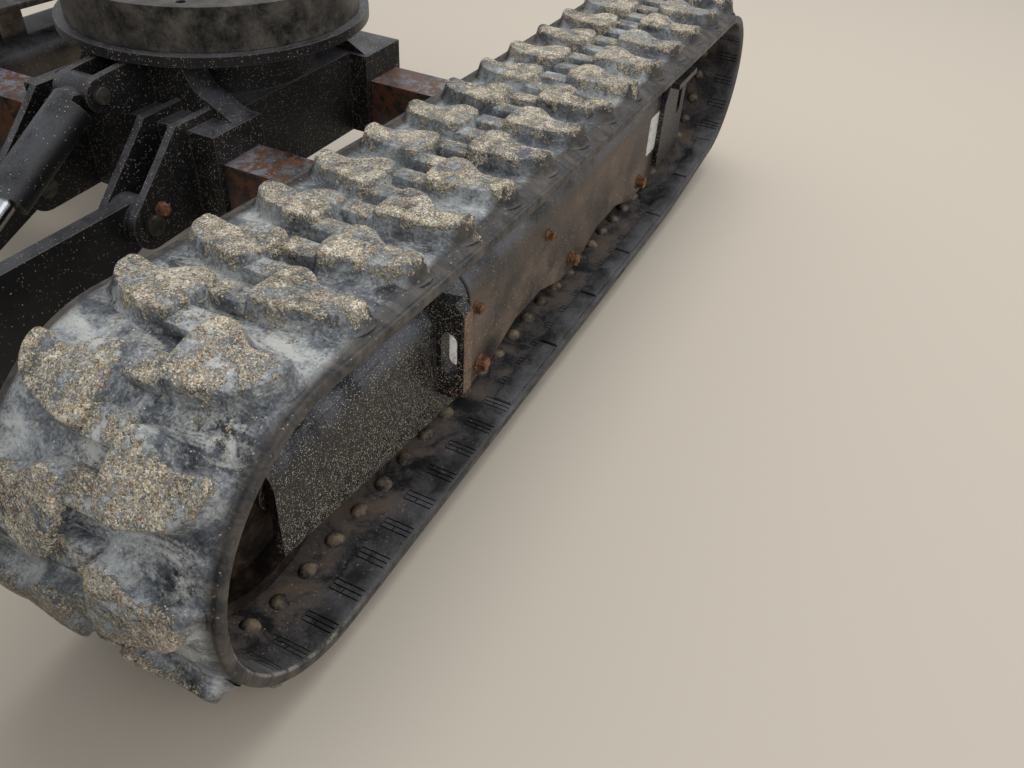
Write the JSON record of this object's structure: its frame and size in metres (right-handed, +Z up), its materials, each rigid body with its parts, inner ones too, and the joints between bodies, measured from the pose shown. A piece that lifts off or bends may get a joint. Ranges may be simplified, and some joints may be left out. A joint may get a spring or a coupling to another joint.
{
  "type": "crawler undercarriage",
  "caption": "Undercarriage of a small excavator: rubber tracks on frames that slide in and out, centre frame with slewing ring, and a lifting dozer blade.",
  "frame": {"origin": "on the ground under the middle of the whole part's length and width", "axes": "+X forwards to the blade, +Y to the left, +Z up along the slewing axis"},
  "size_m": [1.9264, 1.36, 0.4747],
  "materials": {
    "belt_rubber": "moulded rubber, wet and dusty",
    "frame_paint": "black paint on welded steel plate, dusty",
    "cast_steel": "cast steel, worn and rusty",
    "machined_steel": "machined steel, oiled",
    "worn_steel": "hard steel ground bright by soil",
    "rod_chrome": "hard chrome plated rod"
  },
  "bodies": {
    "chassis": {"centre_frame": "frame_paint", "swivel_joint": "machined_steel", "slewing_ring_inner": "machined_steel", "left_pivot_pin": "machined_steel", "right_pivot_pin": "machined_steel", "cylinder_rear_pin": "machined_steel"},
    "turntable": {"slewing_ring_outer": "machined_steel"},
    "left_track": {"left_track_belt": "belt_rubber", "left_side_frame": "frame_paint", "left_idler": "cast_steel", "left_idler_yoke": "cast_steel", "left_sprocket": "cast_steel", "left_travel_motor": "frame_paint", "left_roller_front": "cast_steel", "left_roller_middle": "cast_steel", "left_roller_rear": "cast_steel", "left_top_roller": "cast_steel", "left_tie_down_bracket": "frame_paint", "left_rear_guard": "frame_paint", "gauge_cylinder_barrel": "frame_paint"},
    "right_track": {"right_track_belt": "belt_rubber", "right_side_frame": "frame_paint", "right_idler": "cast_steel", "right_idler_yoke": "cast_steel", "right_sprocket": "cast_steel", "right_travel_motor": "frame_paint", "right_roller_front": "cast_steel", "right_roller_middle": "cast_steel", "right_roller_rear": "cast_steel", "right_top_roller": "cast_steel", "right_tie_down_bracket": "frame_paint", "right_rear_guard": "frame_paint", "gauge_cylinder_rod": "rod_chrome"},
    "blade": {"blade_frame": "frame_paint", "blade_plate": "frame_paint", "left_blade_wing": "frame_paint", "right_blade_wing": "frame_paint", "cutting_edge": "worn_steel", "cylinder_front_pin": "machined_steel"},
    "lift_barrel": {"blade_cylinder_barrel": "frame_paint"},
    "lift_rod": {"blade_cylinder_rod": "rod_chrome"}
  },
  "joints": [
    {"name": "slew", "type": "hinge", "parent": "chassis", "child": "turntable", "pos_m": [-0.13625, 0, 0.44], "axis": [0, 0, 1], "continuous": true},
    {"name": "left_gauge", "type": "slide", "parent": "chassis", "child": "left_track", "axis": [0, 1, 0], "range_m": [-0.11, 0]},
    {"name": "right_gauge", "type": "slide", "parent": "chassis", "child": "right_track", "axis": [0, -1, 0], "range_m": [-0.11, 0]},
    {"name": "blade_lift", "type": "hinge", "parent": "chassis", "child": "blade", "pos_m": [0.20075, 0, 0.215], "axis": [0, -1, 0], "range_deg": [0, 25]},
    {"name": "cylinder_swing", "type": "hinge", "parent": "chassis", "child": "lift_barrel", "pos_m": [0.14875, 0, 0.362], "axis": [0, -1, 0], "range_deg": [0, 16.1]},
    {"name": "cylinder_stroke", "type": "slide", "parent": "lift_barrel", "child": "lift_rod", "axis": [0.8616, 0, -0.5076], "range_m": [-0.0494, 0]}
  ],
  "couplings": [
    {"joint": "cylinder_swing", "follows": "blade_lift", "ratio": 0.6435},
    {"joint": "cylinder_stroke", "follows": "blade_lift", "m_per_rad": -0.11302}
  ]
}
